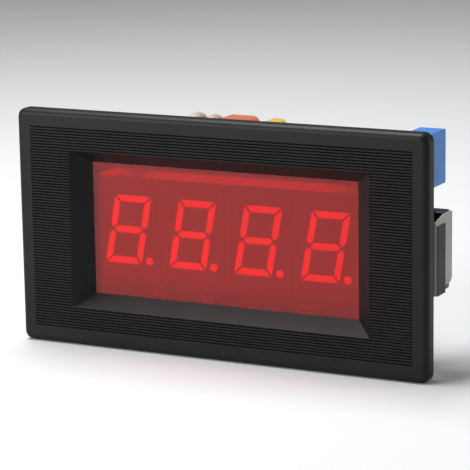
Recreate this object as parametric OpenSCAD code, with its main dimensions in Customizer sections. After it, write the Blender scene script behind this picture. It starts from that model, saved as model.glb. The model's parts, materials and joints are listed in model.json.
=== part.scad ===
// Digital panel meter: a bevelled, ribbed front bezel with a red filter, four seven-segment modules
// on a circuit board behind it, and a sliding clip on each side that grips the panel.
// X runs to the right as seen from the front, Y from the front to the back, and Z up.
// The origin is the centre of the flange's rear face, which lies against the panel.

/* [Bezel] */
// Width of the front flange
bezel_w = 79; // [77:0.5:84]
// Height of the front flange
bezel_h = 42.5; // [41:0.5:46]
// Thickness of the front flange
bezel_t = 2.6; // [2.2:0.1:2.9]
// Radius of the flange's corners
bezel_corner = 1.6; // [1.2:0.1:3]
// Radius of the rounding along the flange's front edges
bezel_edge = 1.1; // [0.5:0.1:1.2]
// Width of the body that passes through the panel
body_w = 75.6; // [74.5:0.1:75.8]
// Height of the body that passes through the panel
body_h = 38.8; // [38:0.1:39.6]
// How far the locating rim stands behind the flange
rim_depth = 1.8; // [1:0.1:3]
// Wall of the locating rim
rim_wall = 1.2; // [0.8:0.1:1.6]

/* [Ribbed face] */
// Plain border between the flange's edge and the ribbed face
rib_border = 2.75; // [2:0.05:4]
// Distance from one groove to the next
rib_pitch = 0.51; // [0.4:0.01:0.8]
// Width of a groove at the surface
groove_w = 0.3; // [0.1:0.02:0.36]
// Depth of a groove
groove_depth = 0.22; // [0.1:0.02:0.4]

/* [Window] */
// Width of the opening in front of the filter
window_w = 51.4; // [50:0.1:53]
// Height of the opening in front of the filter
window_h = 23.9; // [22:0.1:25]
// Depth of the window frame, from the front face to the filter
window_depth = 3; // [2.9:0.1:3.6]
// Width of the bevel on the left and right of the window
bevel_side = 3.25; // [2:0.05:4]
// Width of the bevel above and below the window
bevel_top = 2.3; // [1.5:0.05:3]

/* [Filter] */
// Thickness of the red filter
filter_t = 1.2; // [1:0.1:2]
// How far the filter reaches past the window's edge, behind the bevel
filter_lap = 1; // [0.6:0.1:1.4]
// Clearance around the filter in its pocket
filter_gap = 0.1; // [0.05:0.01:0.3]
// Wall of the pocket that locates the filter
pocket_wall = 1.2; // [0.8:0.1:1.4]

/* [Digits] */
// Distance from one digit to the next
digit_pitch = 12.8; // [12.6:0.05:13]
// Gap between neighbouring display modules
led_gap = 0.1; // [0.05:0.05:0.3]
// Height of a display module
led_h = 19; // [17:0.5:19.5]
// Depth of a display module
led_d = 7.2; // [6:0.1:8]
// Distance that the modules stand off the board
led_standoff = 0.8; // [0.5:0.1:1.5]
// Height of a digit, over the outside of its segments
digit_h = 12.4; // [10:0.1:13]
// Width of a digit, over the outside of its segments
digit_w = 7.3; // [6:0.1:7.6]
// Width of a segment's stroke
stroke = 1.2; // [0.8:0.05:1.6]
// Gap between neighbouring segments, across their mitres
segment_gap = 0.36; // [0.1:0.02:0.5]
// Lean of the digits
slant = 10.4; // [0:0.2:12]
// Diameter of the decimal point
point_d = 1.45; // [1:0.05:1.8]
// Distance from a digit's centre to its decimal point
point_x = 4.1; // [3.9:0.05:4.4]
// Depth of the pockets that hold the segments
segment_depth = 0.5; // [0.3:0.05:1]
// Distance that the segments stand proud of the module's face
segment_proud = 0.04; // [0.02:0.01:0.1]
// Side of a display module's square pin
led_pin = 0.5; // [0.4:0.05:0.6]

/* [Board] */
// Width of the circuit board
board_w = 69.4; // [68:0.1:69.6]
// Height of the circuit board
board_h = 37.6; // [37:0.1:38]
// Thickness of the circuit board
board_t = 1.6; // [1:0.1:2]
// Distance between the fixing screws, along the board
screw_span_x = 42; // [40:0.5:44]
// Distance between the fixing screws, across the board
screw_span_z = 32.6; // [32.2:0.1:33]
// Diameter of the bezel's screw posts
post_d = 4; // [3.4:0.1:4.2]
// Diameter of a fixing screw's shank
screw_d = 1.9; // [1.5:0.1:2.1]
// Diameter of a fixing screw's head
screw_head_d = 3.8; // [3.2:0.1:4.4]
// Length of a fixing screw under its head
screw_length = 6.5; // [5:0.5:8]
// Clearance around a fixing screw's shank
screw_gap = 0.1; // [0.05:0.05:0.2]

/* [Clips] */
// Half height of the side arms, where the clips slide
arm_half = 5.6; // [4:0.1:5.8]
// Thickness of the side arms
arm_t = 1.4; // [1:0.1:1.5]
// Distance from the flange to the arm's stop shoulder
shoulder_y = 4.9; // [4:0.1:5.5]
// Top of the stop shoulder
shoulder_top = 7.1; // [6:0.1:7.6]
// Distance from the stop shoulder to the clip's collar at rest
clip_rest_gap = 0.2; // [0.1:0.05:0.5]
// Width of the clip's collar along the arm
collar_len = 3.3; // [2.5:0.1:4]
// Wall of the clip's collar
collar_wall = 1; // [0.8:0.1:1.1]
// Running clearance between collar and arm
clip_gap = 0.2; // [0.1:0.05:0.25]
// Travel of a clip along its arm
clip_travel = 3.6; // [1:0.1:4.5]
// Panel thickness that the clip grips at rest
panel_min = 1; // [0.5:0.1:2]
// Thickness of the clip's spring plate
plate_t = 0.5; // [0.3:0.05:0.8]
// Top edge of the spring plate, over the collar
plate_top = 6.6; // [6:0.1:6.8]
// Top edge of the spring plate at its front end
plate_front_top = 5.7; // [3:0.1:5.9]
// Bottom edge of the spring plate, over the collar
plate_bottom = -5.7; // [-6:0.1:-5]
// Corner that is cut off the spring plate
plate_chamfer = 0.8; // [0.3:0.1:1.2]
// Thickness of the ribbed grip pad, over its ribs
pad_t = 0.3; // [0.2:0.05:0.5]
// Distance from one rib of the grip pad to the next
pad_pitch = 0.7; // [0.5:0.05:1]
// Top edge of the grip pad
pad_top = 5.1; // [3:0.1:5.6]
// Bottom edge of the grip pad
pad_bottom = -6.8; // [-7.2:0.1:-6.2]

/* [Trimmer] */
// Width of the trimmer's body
trimmer_w = 4.83; // [4.6:0.01:5.1]
// Height of the trimmer's body
trimmer_h = 9.53; // [9:0.01:9.8]
// Depth of the trimmer's body
trimmer_d = 10.03; // [9:0.01:11]
// Right face of the trimmer
trimmer_right = 33; // [31:0.1:34]
// Top face of the trimmer
trimmer_top = 18.1; // [17:0.1:18.6]
// Diameter of the adjusting screw
adjuster_d = 2.2; // [1.8:0.1:2.6]
// Running clearance around the adjusting screw
adjuster_gap = 0.05; // [0.02:0.01:0.1]
// Depth of the adjusting screw's bore
adjuster_bore = 3; // [2:0.1:4]
// How far the adjusting screw stands out of its body
adjuster_proud = 0.8; // [0.4:0.1:1.5]
// Distance that the components stand off the board
standoff = 0.5; // [0.3:0.1:1]

/* [Components] */
// Thickness of the chips
chip_t = 3.4; // [3:0.1:4]
// Width of the chips' bodies
chip_w = 6.4; // [6:0.1:6.6]
// Distance between a chip's two rows of pins
chip_row = 7.62; // [7.4:0.02:8]
// Diameter of the disc capacitors
disc_d = 7.8; // [6:0.1:8.4]
// Thickness of the disc capacitors
disc_t = 2.8; // [2:0.1:3.2]
// Width of the orange film capacitor
film_w = 6.6; // [5:0.1:7]
// Thickness of the orange film capacitor
film_t = 4.2; // [3:0.1:5]
// Depth of the orange film capacitor
film_d = 8.6; // [7:0.1:10]
// Width of the yellow capacitor
bead_w = 3.4; // [2.5:0.1:4]
// Height of the yellow capacitor
bead_h = 5.5; // [4:0.1:6]
// Depth of the yellow capacitor
bead_d = 6.6; // [5:0.1:8]
// Diameter of the electrolytic capacitor
can_d = 6.3; // [5:0.1:7]
// Height of the electrolytic capacitor
can_h = 9; // [7:0.1:11]
// Diameter of a resistor's body
resistor_d = 1.9; // [1.6:0.1:2.2]
// Length of a resistor's body
resistor_l = 5; // [4:0.1:6]
// Diameter of the components' leads
lead_d = 0.55; // [0.4:0.05:0.7]
// Diameter of the transistor-type package
package_d = 4.7; // [4:0.1:5]
// Height of the transistor-type package
package_h = 4.6; // [4:0.1:5.5]
// Poles of the input header
header_poles = 5; // [2:1:6]
// Length of the header's pins above its strip
header_pin_h = 6; // [4:0.1:8]

/* [Hidden] */
// Grid that the board's components are laid out on
grid = 2.54;
// A length that makes cuts run past a face, and a very small overlap of two cuts
over = 0.5;
hair = 0.001;
digits = 4;
sides = [["left", -1], ["right", 1]];

// Depths along Y, measured from the panel face
front_y = -bezel_t;
filter_y = front_y + window_depth;
led_y = filter_y + filter_t;
board_y = led_y + led_d + led_standoff;
rear_y = board_y + board_t;
seat_y = rear_y + standoff;
trimmer_y = seat_y + trimmer_d;
disc_y = seat_y + 1.4;
package_y = seat_y + 1;

// Outlines in X and Z
rib_w = bezel_w - 2 * rib_border;
rib_h = bezel_h - 2 * rib_border;
frame_w = window_w + 2 * bevel_side;
frame_h = window_h + 2 * bevel_top;
filter_w = window_w + 2 * filter_lap;
filter_h = window_h + 2 * filter_lap;
pocket_w = filter_w + 2 * filter_gap;
pocket_h = filter_h + 2 * filter_gap;
groove_count = floor((rib_h - groove_w) / rib_pitch) + 1;
led_w = digit_pitch - led_gap;
led_row = 6 * grid;

// The side arm and what slides on it, as distances from the centre plane
arm_out = body_w / 2;
arm_in = arm_out - arm_t;
collar_in = arm_in - clip_gap - collar_wall;
collar_out = arm_out + clip_gap + collar_wall;
collar_half = arm_half + clip_gap + collar_wall;
collar_y = shoulder_y + clip_rest_gap;
collar_end = collar_y + collar_len;
arm_end = collar_end + clip_travel + clip_rest_gap;
plate_out = collar_out + plate_t;
tooth_pitch = 0.8;
tooth_depth = 0.25;

// Places of the board's components, as [x, z] centres
trimmer_at = [trimmer_right - trimmer_w / 2, trimmer_top - trimmer_h / 2];
adjuster_at = [trimmer_at[0], trimmer_top - adjuster_d];
converter_at = [-9, 0];
converter_pins = 28;
driver_at = [22, 0];
driver_pins = 16;
disc_at = [[-13.3, 15.2], [-9.9, 15]];
film_at = [-5.1, 16.6];
bead_at = [2.8, 16.1];
can_at = [-30, -12];
package_at = [12, -13.6];
resistor_at = [
    [-28.6, 12.6], [-28.6, 15.4], [12, 12.4], [12, 15.2],
    [-12.6, -11], [-12.6, -13.8], [-12.6, -16.6]
];
header_at = [0.6, -15.2];
screw_at = [for (x = [-1, 1], z = [-1, 1]) [x * screw_span_x / 2, z * screw_span_z / 2]];
resistor_span = resistor_l + 2 * grid;
header_pin = 0.64;

// Helpers: a slab drawn in X and Z, a prism drawn in Y and Z, and one drawn in X and Y
module slab(from, to) {
    translate([0, to, 0])
        rotate([90, 0, 0])
            linear_extrude(to - from)
                children();
}

module prism_x(length) {
    translate([-length / 2, 0, 0])
        rotate([90, 0, 90])
            linear_extrude(length)
                children();
}

module prism_z(from, to) {
    translate([0, 0, from])
        linear_extrude(to - from)
            children();
}

module box(w, h) {
    square([w, h], center = true);
}

module round_box(w, h, r) {
    hull()
        for (x = [-1, 1], z = [-1, 1])
            translate([x * (w / 2 - r), z * (h / 2 - r)])
                circle(r, $fn = 32);
}

// A round bar along Y
module rod_y(d, from, to, sides = 24) {
    translate([0, to, 0])
        rotate([90, 0, 0])
            cylinder(d = d, h = to - from, $fn = sides);
}

module at(place) {
    translate([place[0], 0, place[1]])
        children();
}

// Bezel: flange, ribbed face, bevelled window, filter pocket, rim, posts and arms
module flange() {
    steps = 5;
    hull() {
        slab(front_y + bezel_edge, 0)
            round_box(bezel_w, bezel_h, bezel_corner);
        for (i = [0:steps - 1]) {
            angle = 90 * i / steps;
            inset = bezel_edge * (1 - sin(angle));
            slab(front_y + bezel_edge * (1 - cos(angle)), 0)
                round_box(bezel_w - 2 * inset, bezel_h - 2 * inset, bezel_corner - inset);
        }
    }
}

// The grooves are one comb-shaped prism, left out over the window's frame
module grooves() {
    first = -(groove_count - 1) * rib_pitch / 2;
    difference() {
        prism_x(rib_w)
            for (i = [0:groove_count - 1])
                translate([front_y, first + i * rib_pitch])
                    polygon([
                        [-over, -groove_w / 2],
                        [0, -groove_w / 2],
                        [groove_depth, 0],
                        [0, groove_w / 2],
                        [-over, groove_w / 2]
                    ]);
        slab(front_y - 2 * over, front_y + 2 * over)
            box(frame_w, frame_h);
    }
}

// The funnel is where a prism with the side bevels meets one with the top and bottom bevels
module funnel() {
    intersection() {
        prism_z(-frame_h, frame_h)
            polygon([
                [-frame_w / 2, front_y],
                [frame_w / 2, front_y],
                [window_w / 2, filter_y],
                [-window_w / 2, filter_y]
            ]);
        prism_x(2 * frame_w)
            polygon([
                [front_y, -frame_h / 2],
                [filter_y, -window_h / 2],
                [filter_y, window_h / 2],
                [front_y, frame_h / 2]
            ]);
    }
    slab(front_y - over, front_y + hair)
        box(frame_w, frame_h);
    slab(filter_y - hair, led_y + over)
        box(window_w, window_h);
}

module side_arm(s) {
    teeth = floor((arm_end - collar_y - 2 * tooth_pitch) / tooth_pitch);
    difference() {
        union() {
            translate([s * (arm_in + arm_out) / 2, 0, 0])
                slab(-over, arm_end)
                    box(arm_t, 2 * arm_half);
            translate([s * (arm_in + arm_out) / 2, 0, (shoulder_top - collar_half) / 2])
                slab(-over, shoulder_y)
                    box(arm_t, shoulder_top + collar_half);
        }
        for (i = [1:teeth])
            translate([s * arm_out, collar_y + i * tooth_pitch, 0])
                prism_z(-arm_half - over, arm_half + over)
                    polygon([
                        [0, -tooth_pitch / 3],
                        [s * over, -tooth_pitch / 3],
                        [s * over, tooth_pitch / 3],
                        [0, tooth_pitch / 3],
                        [-s * tooth_depth, 0]
                    ]);
    }
}

module bezel() {
    bore_d = screw_d + 2 * screw_gap;
    color("#26272a")
        difference() {
            union() {
                flange();
                slab(-over, led_y)
                    box(pocket_w + 2 * pocket_wall, pocket_h + 2 * pocket_wall);
                slab(-over, rim_depth)
                    difference() {
                        box(body_w, body_h);
                        box(body_w - 2 * rim_wall, body_h - 2 * rim_wall);
                    }
                for (p = screw_at)
                    at(p)
                        rod_y(post_d, -over, board_y, 48);
                for (s = sides)
                    side_arm(s[1]);
            }
            grooves();
            funnel();
            slab(filter_y, led_y + over)
                box(pocket_w, pocket_h);
            for (p = screw_at)
                at(p)
                    rod_y(bore_d, board_y - screw_length, board_y + over, 48);
        }
}

module filter_window() {
    color("#a01818")
        slab(filter_y, led_y)
            box(filter_w, filter_h);
}

// Seven-segment outlines, drawn upright and then leaned
function digit_x(n) = (n - (digits + 1) / 2) * digit_pitch;
function lean(points) = [for (p = points) [p[0] + p[1] * tan(slant), p[1]]];

// A mitred bar from one corner of the digit's centre line to the next
function bar(from, to) =
    let (
        length = norm(to - from),
        along = (to - from) / length,
        across = [-along[1], along[0]],
        half = stroke / 2,
        trim = segment_gap * sqrt(0.5)
    )
    [
        from + along * trim,
        from + along * (trim + half) + across * half,
        to - along * (trim + half) + across * half,
        to - along * trim,
        to - along * (trim + half) - across * half,
        from + along * (trim + half) - across * half
    ];

// The outer corners are filled out, so that a corner's two bars meet on one mitre
function corner_bar(from, to, outward) =
    let (
        length = norm(to - from),
        along = (to - from) / length,
        half = stroke / 2,
        trim = segment_gap * sqrt(0.5)
    )
    [
        from + along * (trim - half) + outward * half,
        to - along * (trim - half) + outward * half,
        to - along * (trim + half) - outward * half,
        from + along * (trim + half) - outward * half
    ];

// An upright bar has a full mitre at the digit's corner and a point at the middle bar
function upright_bar(corner, middle, outward) =
    let (
        length = norm(middle - corner),
        along = (middle - corner) / length,
        half = stroke / 2,
        trim = segment_gap * sqrt(0.5)
    )
    [
        corner + along * (trim - half) + outward * half,
        middle - along * (trim + half) + outward * half,
        middle - along * trim,
        middle - along * (trim + half) - outward * half,
        corner + along * (trim + half) - outward * half
    ];

segment_half_w = (digit_w - stroke) / 2;
segment_half_h = (digit_h - stroke) / 2;
segment_shapes = concat(
    [bar([-segment_half_w, 0], [segment_half_w, 0])],
    [for (v = [-1, 1])
        corner_bar([-segment_half_w, v * segment_half_h], [segment_half_w, v * segment_half_h], [0, v])],
    [for (u = [-1, 1], v = [-1, 1])
        upright_bar([u * segment_half_w, v * segment_half_h], [u * segment_half_w, 0], [u, 0])]
);

module segment_faces() {
    for (shape = segment_shapes)
        polygon(lean(shape));
    translate([point_x, -(digit_h - point_d) / 2])
        circle(d = point_d, $fn = 32);
}

module display_module(n) {
    color("#4a4a4c")
        translate([digit_x(n), 0, 0])
            difference() {
                slab(led_y + segment_proud, led_y + led_d)
                    box(led_w, led_h);
                slab(led_y - over, led_y + segment_depth)
                    segment_faces();
            }
}

module segments(n) {
    color("#e9e6e2")
        translate([digit_x(n), 0, 0])
            slab(led_y, led_y + segment_depth)
                segment_faces();
}

module display_pins() {
    color("#c9c9c4")
        for (n = [1:digits], i = [-2:2], v = [-1, 1])
            translate([digit_x(n) + i * grid, 0, v * led_row / 2])
                slab(led_y + led_d, board_y)
                    box(led_pin, led_pin);
}

// Board and its screws
module main_board() {
    color("#1f6b3a")
        difference() {
            slab(board_y, rear_y)
                box(board_w, board_h);
            for (p = screw_at)
                at(p)
                    rod_y(screw_d + 2 * screw_gap, board_y - over, rear_y + over, 48);
        }
}

module board_screws() {
    head_t = 1.3;
    slot = 0.5;
    slot_length = 0.6 * screw_head_d;
    color("#b9bbbe")
        for (p = screw_at)
            at(p)
                difference() {
                    union() {
                        rod_y(screw_d, rear_y + screw_gap - screw_length, rear_y + head_t / 2, 48);
                        rod_y(screw_head_d, rear_y, rear_y + head_t, 48);
                    }
                    for (turn = [0, 90])
                        rotate([0, turn, 0])
                            slab(rear_y + head_t / 2, rear_y + head_t + over)
                                box(slot_length, slot);
                }
}

// Clips: a black collar that slides on the arm, a light spring plate on it and a ribbed pad
module clip(s) {
    color("#1c1c1e")
        difference() {
            translate([s * (collar_in + collar_out) / 2, 0, 0])
                slab(collar_y, collar_end)
                    box(collar_out - collar_in, 2 * collar_half);
            translate([s * (arm_in + arm_out) / 2, 0, 0])
                slab(collar_y - over, collar_end + over)
                    box(arm_t + 2 * clip_gap, 2 * (arm_half + clip_gap));
        }
}

module clip_plate(s) {
    color("#b4b3ae")
        translate([s * (collar_out + plate_out) / 2, 0, 0])
            prism_x(plate_t)
                polygon([
                    [panel_min, pad_bottom],
                    [collar_y, pad_bottom],
                    [collar_y, plate_bottom],
                    [collar_end - plate_chamfer, plate_bottom],
                    [collar_end, plate_bottom + plate_chamfer],
                    [collar_end, plate_top],
                    [collar_y, plate_top],
                    [panel_min, plate_front_top]
                ]);
}

module clip_pad(s) {
    pad_edge = 0.2;
    pad_len = collar_y - panel_min - 2 * pad_edge;
    ribs = floor(pad_len / pad_pitch);
    base_t = pad_t / 2;
    color("#2a2a2c")
        prism_z(pad_bottom, pad_top)
            translate([0, panel_min + pad_edge])
                polygon(concat(
                    [[s * plate_out, pad_len], [s * plate_out, 0]],
                    [for (i = [0:ribs - 1], k = [0, 1])
                        [s * (plate_out + base_t + k * base_t), (i + k / 2) * pad_len / ribs]],
                    [[s * (plate_out + base_t), pad_len]]
                ));
}

// Trimmer
module trimmer_body() {
    foot = 0.8;
    foot_h = 0.96;
    color("#2f6fd0")
        difference() {
            union() {
                at(trimmer_at)
                    slab(seat_y, trimmer_y)
                        box(trimmer_w, trimmer_h);
                for (z = [-1, 1])
                    at(trimmer_at + [0, z * (trimmer_h / 2 - foot)])
                        slab(rear_y, seat_y + over)
                            box(trimmer_w - foot, foot_h);
            }
            at(adjuster_at)
                rod_y(adjuster_d + 2 * adjuster_gap, trimmer_y - adjuster_bore, trimmer_y + over, 48);
        }
}

module trimmer_screw() {
    slot_w = 0.45;
    slot_depth = 0.5;
    end_y = trimmer_y + adjuster_proud;
    color("#c9a04a")
        at(adjuster_at)
            difference() {
                rod_y(adjuster_d, trimmer_y - adjuster_bore + adjuster_gap, end_y, 48);
                slab(end_y - slot_depth, end_y + over)
                    box(2 * adjuster_d, slot_w);
            }
}

module trimmer_pins() {
    color("#c9c9c4")
        for (i = [-1:1])
            at(trimmer_at + [0, i * grid])
                rod_y(lead_d, rear_y, seat_y);
}

// Chips: a body with a bevelled back and a notch, and two rows of bent pins
module chip(place, pins) {
    length = pins / 2 * grid - 0.6;
    bevel = 0.5;
    notch_d = 1.6;
    color("#2b2b2d")
        difference() {
            at(place)
                prism_x(length)
                    polygon([
                        [seat_y, -chip_w / 2],
                        [seat_y + chip_t - bevel, -chip_w / 2],
                        [seat_y + chip_t, -chip_w / 2 + bevel],
                        [seat_y + chip_t, chip_w / 2 - bevel],
                        [seat_y + chip_t - bevel, chip_w / 2],
                        [seat_y, chip_w / 2]
                    ]);
            at(place - [length / 2, 0])
                rod_y(notch_d, seat_y + chip_t / 2, seat_y + chip_t + over, 32);
        }
}

module chip_pins(place, pins) {
    pin_t = 0.25;
    shoulder = 1.4;
    tip = 0.5;
    mid_y = seat_y + chip_t / 2;
    color("#c9c9c4")
        for (i = [0:pins / 2 - 1], v = [-1, 1])
            at(place + [(i - (pins / 2 - 1) / 2) * grid, 0]) {
                translate([0, 0, v * (chip_w / 2 + chip_row / 2 + pin_t / 2) / 2])
                    slab(mid_y - pin_t / 2, mid_y + pin_t / 2)
                        box(shoulder, (chip_row + pin_t - chip_w) / 2);
                translate([0, 0, v * chip_row / 2]) {
                    slab(seat_y, mid_y + pin_t / 2)
                        box(shoulder, pin_t);
                    slab(rear_y, seat_y + over)
                        box(tip, pin_t);
                }
            }
}

// Capacitors
module disc_capacitor(place) {
    half = disc_t / 2;
    radius = disc_d / 2;
    color("#b9ab96")
        at(place)
            translate([0, disc_y + radius, 0])
                rotate([0, 90, 0])
                    rotate_extrude($fn = 48)
                        polygon(concat(
                            [[0, -half], [radius - half, -half]],
                            [for (a = [-75:15:75]) [radius - half + half * cos(a), half * sin(a)]],
                            [[radius - half, half], [0, half]]
                        ));
}

module disc_capacitor_leads() {
    color("#c9c9c4")
        for (place = disc_at, v = [-1, 1])
            difference() {
                at(place + [0, v * grid / 2])
                    rod_y(lead_d, rear_y, disc_y + disc_d / 8);
                disc_capacitor(place);
            }
}

// A dipped body: a block with rounded edges, its base on the seat
module dipped(w, h, d, r) {
    hull()
        for (x = [-1, 1], z = [-1, 1], y = [seat_y + r, seat_y + d - r])
            translate([x * (w / 2 - r), y, z * (h / 2 - r)])
                sphere(r, $fn = 16);
}

module film_capacitor() {
    color("#e0643a")
        at(film_at)
            dipped(film_w, film_t, film_d, 1.3);
}

module bead_capacitor() {
    color("#e3b23a")
        at(bead_at)
            dipped(bead_w, bead_h, bead_d, 1.2);
}

module film_capacitor_leads() {
    color("#c9c9c4")
        for (u = [-1, 1])
            at(film_at + [u * grid / 2, 0])
                rod_y(lead_d, rear_y, seat_y);
}

module bead_capacitor_leads() {
    color("#c9c9c4")
        for (v = [-1, 1])
            at(bead_at + [0, v * grid / 2])
                rod_y(lead_d, rear_y, seat_y);
}

module electrolytic_can() {
    radius = can_d / 2;
    groove = 0.25;
    groove_at = 1.5;
    recess = 0.1;
    color("#20304c")
        at(can_at)
            translate([0, seat_y, 0])
                rotate([-90, 0, 0])
                    rotate_extrude($fn = 48)
                        polygon([
                            [0, 0],
                            [radius - groove, 0],
                            [radius, groove],
                            [radius, groove_at - groove],
                            [radius - groove, groove_at],
                            [radius, groove_at + groove],
                            [radius, can_h - groove],
                            [radius - groove, can_h],
                            [radius - 3 * groove, can_h],
                            [radius - 3 * groove, can_h - recess],
                            [0, can_h - recess]
                        ]);
}

module electrolytic_leads() {
    color("#c9c9c4")
        for (u = [-1, 1])
            at(can_at + [u * grid / 2, 0])
                rod_y(lead_d, rear_y, seat_y);
}

// Regulator in a half-round package, and its three leads
module regulator() {
    flat = package_d / 2 - 1;
    color("#2b2b2d")
        at(package_at)
            intersection() {
                rod_y(package_d, package_y, package_y + package_h, 48);
                translate([0, 0, (package_d / 2 - flat) / 2])
                    slab(package_y - over, package_y + package_h + over)
                        box(package_d, package_d / 2 + flat);
            }
}

module regulator_leads() {
    color("#c9c9c4")
        for (i = [-1:1])
            at(package_at + [i * grid / 2, 0])
                rod_y(lead_d, rear_y, package_y);
}

// Resistors lie along the board, on leads that bend down to it
module resistors() {
    neck = 1.2;
    waist = 0.2;
    round = 0.3;
    radius = resistor_d / 2;
    color("#c8ad84")
        for (place = resistor_at)
            at(place)
                translate([0, rear_y + radius, 0])
                    rotate([0, 90, 0])
                        rotate_extrude($fn = 32)
                            polygon([
                                [0, -resistor_l / 2],
                                [radius - round, -resistor_l / 2],
                                [radius, -resistor_l / 2 + round],
                                [radius, -resistor_l / 2 + neck],
                                [radius - waist, -resistor_l / 2 + neck + round],
                                [radius - waist, resistor_l / 2 - neck - round],
                                [radius, resistor_l / 2 - neck],
                                [radius, resistor_l / 2 - round],
                                [radius - round, resistor_l / 2],
                                [0, resistor_l / 2]
                            ]);
}

module resistor_leads() {
    mid_y = rear_y + resistor_d / 2;
    color("#c9c9c4")
        for (place = resistor_at, u = [-1, 1])
            at(place + [u * resistor_span / 2, 0]) {
                translate([-u * grid / 2, mid_y, 0])
                    rotate([0, 90, 0])
                        cylinder(d = lead_d, h = grid, center = true, $fn = 24);
                translate([0, mid_y, 0])
                    sphere(d = lead_d, $fn = 24);
                rod_y(lead_d, rear_y, mid_y);
            }
}

// Input header: a strip of square pins, one pole to each grid step
module header_strip() {
    color("#1c1c1e")
        at(header_at)
            slab(rear_y, rear_y + grid)
                difference() {
                    box(header_poles * grid, grid);
                    for (i = [0:header_poles - 1])
                        translate([(i - (header_poles - 1) / 2) * grid, 0])
                            box(header_pin, header_pin);
                }
}

module header_pins() {
    color("#d2b25c")
        at(header_at)
            for (i = [0:header_poles - 1])
                translate([(i - (header_poles - 1) / 2) * grid, 0, 0])
                    slab(rear_y, rear_y + grid + header_pin_h)
                        box(header_pin, header_pin);
}

bezel();
filter_window();
for (n = [1:digits]) {
    display_module(n);
    segments(n);
}
display_pins();
main_board();
board_screws();
for (s = sides) {
    clip(s[1]);
    clip_plate(s[1]);
    clip_pad(s[1]);
}
trimmer_body();
trimmer_screw();
trimmer_pins();
chip(converter_at, converter_pins);  // converter_chip
chip_pins(converter_at, converter_pins);
chip(driver_at, driver_pins);  // driver_chip
chip_pins(driver_at, driver_pins);
disc_capacitor(disc_at[0]);  // disc_capacitor_1
disc_capacitor(disc_at[1]);  // disc_capacitor_2
disc_capacitor_leads();
film_capacitor();
film_capacitor_leads();
bead_capacitor();
bead_capacitor_leads();
electrolytic_can();
electrolytic_leads();
regulator();
regulator_leads();
resistors();
resistor_leads();
header_strip();
header_pins();
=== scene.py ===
import bpy
import bmesh
import json
import math
from mathutils import Matrix, Vector


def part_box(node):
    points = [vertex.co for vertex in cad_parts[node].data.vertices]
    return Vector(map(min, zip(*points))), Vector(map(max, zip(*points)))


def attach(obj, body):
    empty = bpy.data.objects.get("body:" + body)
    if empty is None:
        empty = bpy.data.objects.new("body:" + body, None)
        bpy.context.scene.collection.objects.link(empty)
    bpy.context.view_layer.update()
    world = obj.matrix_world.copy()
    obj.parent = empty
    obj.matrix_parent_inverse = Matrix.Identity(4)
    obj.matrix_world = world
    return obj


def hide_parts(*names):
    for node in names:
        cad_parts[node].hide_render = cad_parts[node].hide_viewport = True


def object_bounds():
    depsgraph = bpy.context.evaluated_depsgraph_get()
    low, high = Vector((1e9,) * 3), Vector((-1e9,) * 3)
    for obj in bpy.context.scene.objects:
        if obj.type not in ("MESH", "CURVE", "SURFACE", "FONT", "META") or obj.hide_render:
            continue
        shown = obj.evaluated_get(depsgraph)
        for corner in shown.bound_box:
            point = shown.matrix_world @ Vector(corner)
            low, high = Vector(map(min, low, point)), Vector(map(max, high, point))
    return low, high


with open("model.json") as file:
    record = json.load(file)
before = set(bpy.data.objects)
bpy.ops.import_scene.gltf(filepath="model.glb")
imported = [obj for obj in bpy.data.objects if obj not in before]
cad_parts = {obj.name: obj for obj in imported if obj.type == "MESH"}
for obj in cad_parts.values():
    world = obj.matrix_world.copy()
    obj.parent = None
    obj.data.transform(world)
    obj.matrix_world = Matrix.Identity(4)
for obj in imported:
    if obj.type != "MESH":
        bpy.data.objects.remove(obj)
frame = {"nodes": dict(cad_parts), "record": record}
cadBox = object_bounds()
bodies = frame["record"]["behaviour"]["bodies"]
bodyOf = {node: body for body, nodes in bodies.items() for node in nodes}
slotOf = {part["node"]: part["material_slot"] for part in frame["record"]["subparts"]}
mm = 0.001
print("frame loaded:", len(frame["nodes"]), "nodes")

# angles in degrees, distances and lens in mm
cameraSetup = {
    "azimuth": 26.8,
    "elevation": 12.0,
    "roll": -0.9,
    "distance": 401.3,
    "right": 3.44,
    "up": 1.26,
    "lens": 178.0,
    "sensor": 36.0,
}


def makeCamera(setup):
    az, el, roll = (math.radians(setup[k]) for k in ("azimuth", "elevation", "roll"))
    back = Vector((math.sin(az) * math.cos(el), -math.cos(az) * math.cos(el), math.sin(el)))
    level = Vector((math.cos(az), math.sin(az), 0))
    upright = back.cross(level)
    right = level * math.cos(roll) + upright * math.sin(roll)
    up = upright * math.cos(roll) - level * math.sin(roll)
    faceCentre = Vector((0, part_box("bezel")[0].y, 0))
    place = faceCentre + (back * setup["distance"] + right * setup["right"] + up * setup["up"]) * mm
    data = bpy.data.cameras.new("camera")
    data.lens = setup["lens"]
    data.sensor_width = setup["sensor"]
    data.clip_start = 0.01
    data.clip_end = 20
    camera = bpy.data.objects.new("camera", data)
    turn = Matrix((right, up, back)).transposed().to_4x4()
    camera.matrix_world = Matrix.Translation(place) @ turn
    bpy.context.scene.collection.objects.link(camera)
    bpy.context.scene.camera = camera


lightSetup = {
    "topBox": {"at": (-130, 20, 430), "aim": (0, 0, 0), "size": (380, 200), "watts": 2.6},
    "frontFill": {"at": (-320, -460, 160), "aim": (0, 0, -20), "size": (300, 260), "watts": 2.2},
    "rearRim": {"at": (420, 260, 140), "aim": (30, 10, 0), "size": (180, 260), "watts": 0.4},
}


def makeLights(setups):
    for name, setup in setups.items():
        data = bpy.data.lights.new(name, "AREA")
        data.shape = "RECTANGLE"
        data.size, data.size_y = (side * mm for side in setup["size"])
        data.energy = setup["watts"]
        light = bpy.data.objects.new(name, data)
        place = Vector(setup["at"]) * mm
        light.location = place
        light.rotation_euler = (place - Vector(setup["aim"]) * mm).to_track_quat("Z", "Y").to_euler()
        bpy.context.scene.collection.objects.link(light)


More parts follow.
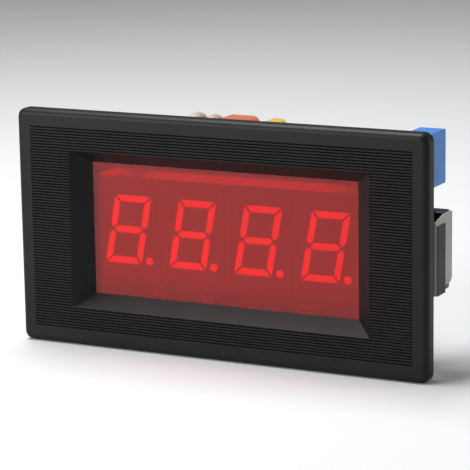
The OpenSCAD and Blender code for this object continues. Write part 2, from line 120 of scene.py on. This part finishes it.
# a sweep of pale paper, in metres
stageSetup = {
    "reach": 1.6,
    "depth": 0.9,
    "height": 1.4,
    "curve": 0.35,
    "curveSteps": 12,
    "drop": 0.00005,
    "paper": (0.72, 0.73, 0.74),
    "paperRoughness": 0.9,
    "worldStrength": 0.22,
}


def makeStage(setup):
    world = bpy.data.worlds.new("studio")
    world.use_nodes = True
    world.node_tree.nodes["Background"].inputs["Color"].default_value = (1, 1, 1, 1)
    world.node_tree.nodes["Background"].inputs["Strength"].default_value = setup["worldStrength"]
    bpy.context.scene.world = world
    floorZ = cadBox[0].z - setup["drop"]
    profile = [(-setup["reach"], floorZ), (setup["depth"], floorZ)]
    for step in range(1, setup["curveSteps"] + 1):
        angle = math.radians(90) * step / setup["curveSteps"]
        profile.append((
            setup["depth"] + setup["curve"] * math.sin(angle),
            floorZ + setup["curve"] * (1 - math.cos(angle)),
        ))
    profile.append((setup["depth"] + setup["curve"], floorZ + setup["height"]))
    mesh = bpy.data.meshes.new("studioFloor")
    points = [(x, y, z) for y, z in profile for x in (-setup["reach"], setup["reach"])]
    faces = [(2 * i, 2 * i + 1, 2 * i + 3, 2 * i + 2) for i in range(len(profile) - 1)]
    mesh.from_pydata(points, [], faces)
    for face in mesh.polygons:
        face.use_smooth = True
    floor = bpy.data.objects.new("studioFloor", mesh)
    bpy.context.scene.collection.objects.link(floor)
    paper = bpy.data.materials.new("palePaper")
    paper.use_nodes = True
    shader = paper.node_tree.nodes["Principled BSDF"]
    shader.inputs["Base Color"].default_value = (*setup["paper"], 1)
    shader.inputs["Roughness"].default_value = setup["paperRoughness"]
    mesh.materials.append(paper)


makeCamera(cameraSetup)
makeLights(lightSetup)
makeStage(stageSetup)
print("camera, lights and stage made")


def startMaterial(name):
    material = bpy.data.materials.new(name)
    material.use_nodes = True
    tree = material.node_tree
    return material, tree, tree.nodes["Principled BSDF"]


def objectPlace(tree):
    return tree.nodes.new("ShaderNodeTexCoord").outputs["Object"]


def noise(tree, scale, detail=3.0, stretch=(1, 1, 1)):
    mapping = tree.nodes.new("ShaderNodeMapping")
    mapping.inputs["Scale"].default_value = stretch
    made = tree.nodes.new("ShaderNodeTexNoise")
    made.inputs["Scale"].default_value = scale
    made.inputs["Detail"].default_value = detail
    tree.links.new(objectPlace(tree), mapping.inputs["Vector"])
    tree.links.new(mapping.outputs["Vector"], made.inputs["Vector"])
    return made.outputs["Fac"]


def spread(tree, factor, fromLow, fromHigh, low, high):
    made = tree.nodes.new("ShaderNodeMapRange")
    made.inputs["From Min"].default_value = fromLow
    made.inputs["From Max"].default_value = fromHigh
    made.inputs["To Min"].default_value = low
    made.inputs["To Max"].default_value = high
    tree.links.new(factor, made.inputs["Value"])
    return made.outputs["Result"]


# first and second are each a colour or an output
def mixColors(tree, factor, first, second):
    made = tree.nodes.new("ShaderNodeMix")
    made.data_type = "RGBA"
    tree.links.new(factor, made.inputs["Factor"])
    for slot, color in ((6, first), (7, second)):
        if isinstance(color, tuple):
            made.inputs[slot].default_value = (*color, 1)
        else:
            tree.links.new(color, made.inputs[slot])
    return made.outputs[2]


def bump(tree, shader, height, distance, strength=1.0):
    made = tree.nodes.new("ShaderNodeBump")
    made.inputs["Strength"].default_value = strength
    made.inputs["Distance"].default_value = distance
    tree.links.new(height, made.inputs["Height"])
    tree.links.new(made.outputs["Normal"], shader.inputs["Normal"])


# tones in linear light, roughness from smooth to rough, grain per metre, grain height in mm
finishes = {
    "caseBlack": {
        "dark": (0.004, 0.004, 0.0042), "light": (0.0062, 0.0062, 0.0065), "rough": (0.4, 0.52),
        "grain": 9000, "height": 0.003, "specular": 0.22,
    },
    "segmentResin": {
        "dark": (0.8, 0.78, 0.75), "light": (0.86, 0.84, 0.82), "rough": (0.3, 0.4),
        "grain": 6000, "height": 0.002, "glow": ((1, 0.05, 0.03), 0.12),
    },
    "tinnedLead": {
        "dark": (0.5, 0.5, 0.49), "light": (0.66, 0.66, 0.65), "rough": (0.25, 0.42),
        "grain": 5000, "height": 0.003, "metal": 1,
    },
    "zincScrew": {
        "dark": (0.42, 0.43, 0.44), "light": (0.6, 0.61, 0.62), "rough": (0.25, 0.4),
        "grain": 4000, "height": 0.003, "metal": 1,
    },
    "clipBlack": {
        "dark": (0.008, 0.008, 0.009), "light": (0.014, 0.014, 0.015), "rough": (0.3, 0.42),
        "grain": 7000, "height": 0.004,
    },
    "clipGrey": {
        "dark": (0.3, 0.3, 0.28), "light": (0.36, 0.36, 0.34), "rough": (0.35, 0.5),
        "grain": 6000, "height": 0.004,
    },
    "padBlack": {
        "dark": (0.02, 0.02, 0.021), "light": (0.03, 0.03, 0.031), "rough": (0.4, 0.55),
        "grain": 7000, "height": 0.004,
    },
    "trimmerBlue": {
        "dark": (0.03, 0.17, 0.5), "light": (0.045, 0.22, 0.6), "rough": (0.35, 0.5),
        "grain": 6000, "height": 0.005,
    },
    "turnedBrass": {
        "dark": (0.62, 0.4, 0.14), "light": (0.78, 0.56, 0.24), "rough": (0.2, 0.36),
        "grain": 5000, "height": 0.003, "metal": 1,
    },
    "chipEpoxy": {
        "dark": (0.018, 0.018, 0.019), "light": (0.028, 0.028, 0.029), "rough": (0.55, 0.7),
        "grain": 8000, "height": 0.01,
    },
    "discCoating": {
        "dark": (0.34, 0.26, 0.19), "light": (0.46, 0.38, 0.29), "rough": (0.4, 0.6),
        "grain": 2500, "height": 0.02,
    },
    "filmOrange": {
        "dark": (0.62, 0.12, 0.04), "light": (0.8, 0.2, 0.08), "rough": (0.15, 0.3),
        "grain": 900, "height": 0.03, "coat": 0.3,
    },
    "beadYellow": {
        "dark": (0.72, 0.42, 0.05), "light": (0.85, 0.55, 0.1), "rough": (0.18, 0.32),
        "grain": 900, "height": 0.03, "coat": 0.3,
    },
    "canSleeve": {
        "dark": (0.008, 0.014, 0.04), "light": (0.014, 0.022, 0.06), "rough": (0.2, 0.32),
        "grain": 1500, "height": 0.01, "coat": 0.3,
    },
    "resistorCoat": {
        "dark": (0.5, 0.34, 0.19), "light": (0.62, 0.45, 0.28), "rough": (0.3, 0.45),
        "grain": 1800, "height": 0.02,
    },
    "headerBlack": {
        "dark": (0.012, 0.012, 0.012), "light": (0.02, 0.02, 0.02), "rough": (0.4, 0.55),
        "grain": 7000, "height": 0.005,
    },
    "flashGold": {
        "dark": (0.7, 0.48, 0.16), "light": (0.86, 0.64, 0.28), "rough": (0.18, 0.3),
        "grain": 4000, "height": 0.002, "metal": 1,
    },
    "solderTin": {
        "dark": (0.55, 0.56, 0.56), "light": (0.72, 0.72, 0.72), "rough": (0.12, 0.28),
        "grain": 1500, "height": 0.02, "metal": 1,
    },
}


blotchSetup = {"scale": 120, "detail": 4, "from": (0.35, 0.65)}  # slow change of tone over a piece
grainSetup = {"detail": 4, "from": (0.3, 0.7)}
coatRoughness = 0.12


def makeFinish(name):
    setup = finishes[name]
    material, tree, shader = startMaterial(name)
    slow = noise(tree, blotchSetup["scale"], blotchSetup["detail"])
    blotch = spread(tree, slow, *blotchSetup["from"], 0, 1)
    tree.links.new(mixColors(tree, blotch, setup["dark"], setup["light"]), shader.inputs["Base Color"])
    grain = noise(tree, setup["grain"], grainSetup["detail"])
    tree.links.new(spread(tree, grain, *grainSetup["from"], *setup["rough"]), shader.inputs["Roughness"])
    bump(tree, shader, grain, setup["height"] * mm)
    shader.inputs["Metallic"].default_value = setup.get("metal", 0)
    shader.inputs["Specular IOR Level"].default_value = setup.get("specular", 0.5)
    shader.inputs["Coat Weight"].default_value = setup.get("coat", 0)
    shader.inputs["Coat Roughness"].default_value = coatRoughness
    glow, strength = setup.get("glow", ((0, 0, 0), 0))
    shader.inputs["Emission Color"].default_value = (*glow, 1)
    shader.inputs["Emission Strength"].default_value = strength
    return material


filterSetup = {
    "tint": (0.8, 0.012, 0.01),
    "shade": (0.95, 0.2, 0.18),  # light that the lamps send through to the digits
    "clear": 0.86,
    "ior": 1.45,
    "rough": (0.14, 0.2),
    "mottle": 2600,
    "mottleDetail": 2,
    "specular": 0.3,
    "backGap": 0.05,  # air between the filter and the digits, in mm
}


def makeRedFilter(setup):
    material, tree, shader = startMaterial("redFilter")
    shader.inputs["Base Color"].default_value = (*setup["tint"], 1)
    shader.inputs["Transmission Weight"].default_value = setup["clear"]
    shader.inputs["IOR"].default_value = setup["ior"]
    shader.inputs["Specular IOR Level"].default_value = setup["specular"]
    mottle = noise(tree, setup["mottle"], setup["mottleDetail"])
    tree.links.new(spread(tree, mottle, *grainSetup["from"], *setup["rough"]), shader.inputs["Roughness"])
    clear = tree.nodes.new("ShaderNodeBsdfTransparent")  # lets the lamps reach the digits
    clear.inputs["Color"].default_value = (*setup["shade"], 1)
    mix = tree.nodes.new("ShaderNodeMixShader")
    rays = tree.nodes.new("ShaderNodeLightPath")
    tree.links.new(rays.outputs["Is Shadow Ray"], mix.inputs["Fac"])
    tree.links.new(shader.outputs["BSDF"], mix.inputs[1])
    tree.links.new(clear.outputs["BSDF"], mix.inputs[2])
    tree.links.new(mix.outputs["Shader"], tree.nodes["Material Output"].inputs["Surface"])
    return material


def along(tree, axis):
    split = tree.nodes.new("ShaderNodeSeparateXYZ")
    tree.links.new(objectPlace(tree), split.inputs["Vector"])
    return split.outputs[axis]


moduleSetup = {
    "face": (0.045, 0.045, 0.047),
    "sides": (0.42, 0.42, 0.41),
    "faceDepth": (0.05, 0.08),  # mm behind the front where the paint ends
    "rough": (0.5, 0.65),
    "grain": 7000,
    "height": 0.006,
}


# the painted face is darker than the potted sides and back
def makeModuleGrey(setup):
    material, tree, shader = startMaterial("moduleGrey")
    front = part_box("display_module_1")[0].y
    paintEnds = [front + depth * mm for depth in setup["faceDepth"]]
    behind = spread(tree, along(tree, "Y"), *paintEnds, 0, 1)
    tree.links.new(mixColors(tree, behind, setup["face"], setup["sides"]), shader.inputs["Base Color"])
    fine = noise(tree, setup["grain"], grainSetup["detail"])
    tree.links.new(spread(tree, fine, *grainSetup["from"], *setup["rough"]), shader.inputs["Roughness"])
    bump(tree, shader, fine, setup["height"] * mm)
    return material


boardSetup = {
    "mask": ((0.008, 0.085, 0.03), (0.013, 0.12, 0.045)),
    "core": ((0.16, 0.17, 0.07), (0.24, 0.25, 0.12)),
    "edgeDepth": (0.03, 0.02),  # mm inside the sawn edge where the bare laminate starts
    "blotch": 180,
    "blotchDetail": 4,
    "weave": 1500,
    "weaveHeight": 0.008,
    "weaveStrength": 0.4,
    "gloss": 2500,
    "rough": (0.22, 0.34),
}


# solder mask over woven laminate, and the sawn edges of the laminate
def makeBoardGreen(setup):
    material, tree, shader = startMaterial("boardGreen")
    blotch = spread(tree, noise(tree, setup["blotch"], setup["blotchDetail"]), *blotchSetup["from"], 0, 1)
    mask = mixColors(tree, blotch, *setup["mask"])
    core = mixColors(tree, blotch, *setup["core"])
    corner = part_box("main_board")[1]
    edge = None
    for axis, limit in (("X", corner.x), ("Z", corner.z)):
        distance = tree.nodes.new("ShaderNodeMath")
        distance.operation = "ABSOLUTE"
        tree.links.new(along(tree, axis), distance.inputs[0])
        sawn = [limit - depth * mm for depth in setup["edgeDepth"]]
        near = spread(tree, distance.outputs[0], *sawn, 0, 1)
        if edge is not None:
            either = tree.nodes.new("ShaderNodeMath")
            either.operation = "MAXIMUM"
            tree.links.new(edge, either.inputs[0])
            tree.links.new(near, either.inputs[1])
            near = either.outputs[0]
        edge = near
    tree.links.new(mixColors(tree, edge, mask, core), shader.inputs["Base Color"])
    weave = tree.nodes.new("ShaderNodeTexBrick")
    tree.links.new(objectPlace(tree), weave.inputs["Vector"])
    weave.inputs["Scale"].default_value = setup["weave"]
    bump(tree, shader, weave.outputs["Fac"], setup["weaveHeight"] * mm, setup["weaveStrength"])
    gloss = noise(tree, setup["gloss"])
    tree.links.new(spread(tree, gloss, *grainSetup["from"], *setup["rough"]), shader.inputs["Roughness"])
    return material


materials = {name: makeFinish(name) for name in finishes}
slotMaterial = {
    "case_plastic": materials["caseBlack"],
    "red_filter": makeRedFilter(filterSetup),
    "module_face": makeModuleGrey(moduleSetup),
    "segment_resin": materials["segmentResin"],
    "tinned_lead": materials["tinnedLead"],
    "board_laminate": makeBoardGreen(boardSetup),
    "screw_steel": materials["zincScrew"],
    "clip_plastic": materials["clipBlack"],
    "clip_plate": materials["clipGrey"],
    "pad_plastic": materials["padBlack"],
    "trimmer_blue": materials["trimmerBlue"],
    "adjuster_brass": materials["turnedBrass"],
    "chip_epoxy": materials["chipEpoxy"],
    "disc_ceramic": materials["discCoating"],
    "film_orange": materials["filmOrange"],
    "bead_yellow": materials["beadYellow"],
    "can_sleeve": materials["canSleeve"],
    "resistor_coat": materials["resistorCoat"],
    "header_plastic": materials["headerBlack"],
    "header_gold": materials["flashGold"],
}
print("materials made:", len(materials) + 3)

# width of the rounding on a piece's edges in mm, 0 where its shape is round already
edgeRounding = {
    "bezel": 0,
    "filter_window": 0.08,
    "main_board": 0.05,
    "board_screws": 0.12,
    "clip_left": 0.18,
    "clip_right": 0.18,
    "clip_plate_left": 0.12,
    "clip_plate_right": 0.12,
    "clip_pad_left": 0.05,
    "clip_pad_right": 0.05,
    "trimmer_body": 0.2,
    "trimmer_screw": 0.08,
    "converter_chip": 0.1,
    "driver_chip": 0.1,
    "disc_capacitor_1": 0,
    "disc_capacitor_2": 0,
    "film_capacitor": 0,
    "bead_capacitor": 0,
    "electrolytic_can": 0,
    "regulator": 0.12,
    "resistors": 0,
    "header_strip": 0.12,
    "header_pins": 0.14,
}
creaseAngle = math.radians(32)
flatAngle = math.radians(0.4)  # faces that differ by less become one
mergeDistance = 0.0005 * mm
backBand = 0.1 * mm  # finds the filter's rear corners


def addPiece(name, mesh, body):
    piece = bpy.data.objects.new(name, mesh)
    bpy.context.scene.collection.objects.link(piece)
    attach(piece, body)
    return piece


# a copy of a solid's mesh with its loose triangles joined up
def mergedMesh(name):
    bm = bmesh.new()
    bm.from_mesh(frame["nodes"][name].data)
    bmesh.ops.remove_doubles(bm, verts=bm.verts, dist=mergeDistance)
    return bm


def finishedCopy(name, width):
    bm = mergedMesh(name)
    bmesh.ops.dissolve_limit(bm, angle_limit=flatAngle, verts=bm.verts, edges=bm.edges)
    if name == "filter_window":
        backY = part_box(name)[1].y
        for vert in bm.verts:
            if vert.co.y > backY - backBand:
                vert.co.y -= filterSetup["backGap"] * mm
    for face in bm.faces:
        face.smooth = True
    for edge in bm.edges:
        edge.smooth = len(edge.link_faces) == 2 and edge.calc_face_angle(0) < creaseAngle
    mesh = bpy.data.meshes.new("finished_" + name)
    bm.to_mesh(mesh)
    bm.free()
    mesh.materials.append(slotMaterial[slotOf[name]])
    piece = addPiece("finished_" + name, mesh, bodyOf[name])
    if width:
        rounded = piece.modifiers.new("rounding", "BEVEL")
        rounded.width = width * mm
        rounded.segments = 2
        rounded.limit_method = "ANGLE"
        rounded.angle_limit = creaseAngle
        rounded.harden_normals = True
    weighted = piece.modifiers.new("flatNormals", "WEIGHTED_NORMAL")
    weighted.keep_sharp = True
    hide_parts(name)


for name, cadNode in frame["nodes"].items():
    for slot in cadNode.material_slots:
        slot.material = slotMaterial[slotOf[name]]
    if name in edgeRounding:
        finishedCopy(name, edgeRounding[name])
print("finished copies made:", len(edgeRounding))


# where each separate lead of a node meets the board, as (x, z)
def leadFeet(name, rear):
    bm = mergedMesh(name)
    unseen = set(bm.verts)
    feet = []
    while unseen:
        stack = [unseen.pop()]
        group = []
        while stack:
            vert = stack.pop()
            group.append(vert.co.copy())
            for edge in vert.link_edges:
                other = edge.other_vert(vert)
                if other in unseen:
                    unseen.remove(other)
                    stack.append(other)
        end = min(p.y for p in group) if rear else max(p.y for p in group)
        foot = [p for p in group if abs(p.y - end) < 0.01 * mm]
        feet.append((
            (min(p.x for p in foot) + max(p.x for p in foot)) / 2,
            (min(p.z for p in foot) + max(p.z for p in foot)) / 2,
        ))
    bm.free()
    return sorted(feet)


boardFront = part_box("main_board")[0].y
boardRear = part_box("main_board")[1].y
leadNodes = [
    name for name in frame["nodes"]
    if name.endswith(("_leads", "_pins")) and name != "display_pins"
]
partFeet = {name: leadFeet(name, True) for name in leadNodes}
displayFeet = leadFeet("display_pins", False)


def startTree(name, inputs):
    tree = bpy.data.node_groups.new(name, "GeometryNodeTree")
    tree.interface.new_socket("Geometry", in_out="INPUT", socket_type="NodeSocketGeometry")
    for label, kind in inputs:
        tree.interface.new_socket(label, in_out="INPUT", socket_type="NodeSocket" + kind)
    tree.interface.new_socket("Geometry", in_out="OUTPUT", socket_type="NodeSocketGeometry")
    return tree, tree.nodes.new("NodeGroupInput").outputs


def add(tree, kind, links=(), **settings):
    made = tree.nodes.new(kind)
    for key, value in settings.items():
        setattr(made, key, value)
    for socket, source in links:
        if isinstance(source, bpy.types.NodeSocket):
            tree.links.new(source, made.inputs[socket])
        else:
            made.inputs[socket].default_value = source
    return made


def mathNode(tree, operation, *values):
    return add(tree, "ShaderNodeMath", list(enumerate(values)), operation=operation).outputs[0]


def endTree(tree, given, geometry):
    realized = add(tree, "GeometryNodeRealizeInstances", [("Geometry", geometry)])
    painted = add(tree, "GeometryNodeSetMaterial", [
        ("Geometry", realized.outputs[0]), ("Material", given["Material"]),
    ])
    add(tree, "NodeGroupOutput", [("Geometry", painted.outputs[0])])
    return tree


def runTree(name, tree, values, points, edges, body, slot):
    base = bpy.data.meshes.new(name + "Points")
    base.from_pydata(points, edges, [])
    source = bpy.data.objects.new(name + "Points", base)
    bpy.context.scene.collection.objects.link(source)
    modifier = source.modifiers.new("shape", "NODES")
    modifier.node_group = tree
    for item in tree.interface.items_tree:
        if item.in_out == "INPUT" and item.name in values:
            modifier[item.identifier] = values[item.name]
    graph = bpy.context.evaluated_depsgraph_get()
    shaped = source.evaluated_get(graph)
    mesh = bpy.data.meshes.new_from_object(shaped, preserve_all_data_layers=True, depsgraph=graph)
    bpy.data.objects.remove(source)
    mesh.name = name
    return addPiece(name, mesh, body)


# a cone with a drawn-in waist on every point, pointing to the rear or, with Facing 1, to the front
def makeJointTree():
    tree, given = startTree("solderJoint", [
        ("Foot Radius", "Float"), ("Tip Radius", "Float"), ("Height", "Float"),
        ("Waist", "Float"), ("Facing", "Float"), ("Material", "Material"),
    ])
    cone = add(tree, "GeometryNodeMeshCone", [
        ("Vertices", 16), ("Side Segments", 5), ("Fill Segments", 1),
        ("Radius Top", given["Tip Radius"]), ("Radius Bottom", given["Foot Radius"]),
        ("Depth", given["Height"]),
    ])
    split = add(tree, "ShaderNodeSeparateXYZ", [(0, add(tree, "GeometryNodeInputPosition").outputs[0])])
    level = mathNode(tree, "DIVIDE", split.outputs["Z"], given["Height"])
    rest = mathNode(tree, "SUBTRACT", 1.0, level)
    hump = mathNode(tree, "MULTIPLY", level, rest)
    pull = mathNode(tree, "MULTIPLY", hump, given["Waist"])
    keep = mathNode(tree, "SUBTRACT", 1.0, pull)
    scaled = add(tree, "ShaderNodeCombineXYZ", [
        ("X", mathNode(tree, "MULTIPLY", split.outputs["X"], keep)),
        ("Y", mathNode(tree, "MULTIPLY", split.outputs["Y"], keep)),
        ("Z", split.outputs["Z"]),
    ])
    waisted = add(tree, "GeometryNodeSetPosition", [
        ("Geometry", cone.outputs["Mesh"]), ("Position", scaled.outputs[0]),
    ])
    smooth = add(tree, "GeometryNodeSetShadeSmooth", [
        ("Geometry", waisted.outputs[0]), ("Shade Smooth", True),
    ])
    facing = mathNode(tree, "MULTIPLY_ADD", given["Facing"], math.pi, -math.pi / 2)
    turn = add(tree, "ShaderNodeCombineXYZ", [("X", facing)])
    placed = add(tree, "GeometryNodeInstanceOnPoints", [
        ("Points", given["Geometry"]), ("Instance", smooth.outputs[0]), ("Rotation", turn.outputs[0]),
    ])
    return endTree(tree, given, placed.outputs[0])


jointTree = makeJointTree()
# radii and heights in mm
solderSetup = {
    "foot": 0.8,
    "tip": 0.28,
    "height": 0.85,
    "waist": 0.9,
    "padRadius": 0.95,
    "padTaper": 0.97,
    "padHeight": 0.04,
}


def addJoints(setup):
    partPoints = [(x, boardFront, z) for feet in partFeet.values() for x, z in feet]
    displayPoints = [(x, boardRear, z) for x, z in displayFeet]
    sizes = {
        "Foot Radius": setup["foot"] * mm,
        "Tip Radius": setup["tip"] * mm,
        "Height": setup["height"] * mm,
        "Waist": setup["waist"],
        "Material": materials["solderTin"],
    }
    frontward, rearward = {"Facing": 1.0}, {"Facing": 0.0}
    place = ([], "meter", "tinned_lead")  # no edges between the points, then body and slot
    runTree("solder_joints_front", jointTree, {**sizes, **frontward}, partPoints, *place)
    runTree("solder_joints_rear", jointTree, {**sizes, **rearward}, displayPoints, *place)
    pad = {
        "Foot Radius": setup["padRadius"] * mm,
        "Tip Radius": setup["padRadius"] * setup["padTaper"] * mm,
        "Height": setup["padHeight"] * mm,
        "Waist": 0.0,
        "Material": materials["tinnedLead"],
    }
    seenFeet = [feet for name, feet in partFeet.items() if name != "header_pins"]
    rearPads = [(x, boardRear, z) for feet in seenFeet for x, z in feet]
    runTree("pads_rear", jointTree, {**pad, **rearward}, rearPads + displayPoints, *place)
    runTree("pads_front", jointTree, {**pad, **frontward}, partPoints, *place)
    print("solder joints and pads made")


addJoints(solderSetup)

bpy.context.scene.view_settings.view_transform = "Standard"
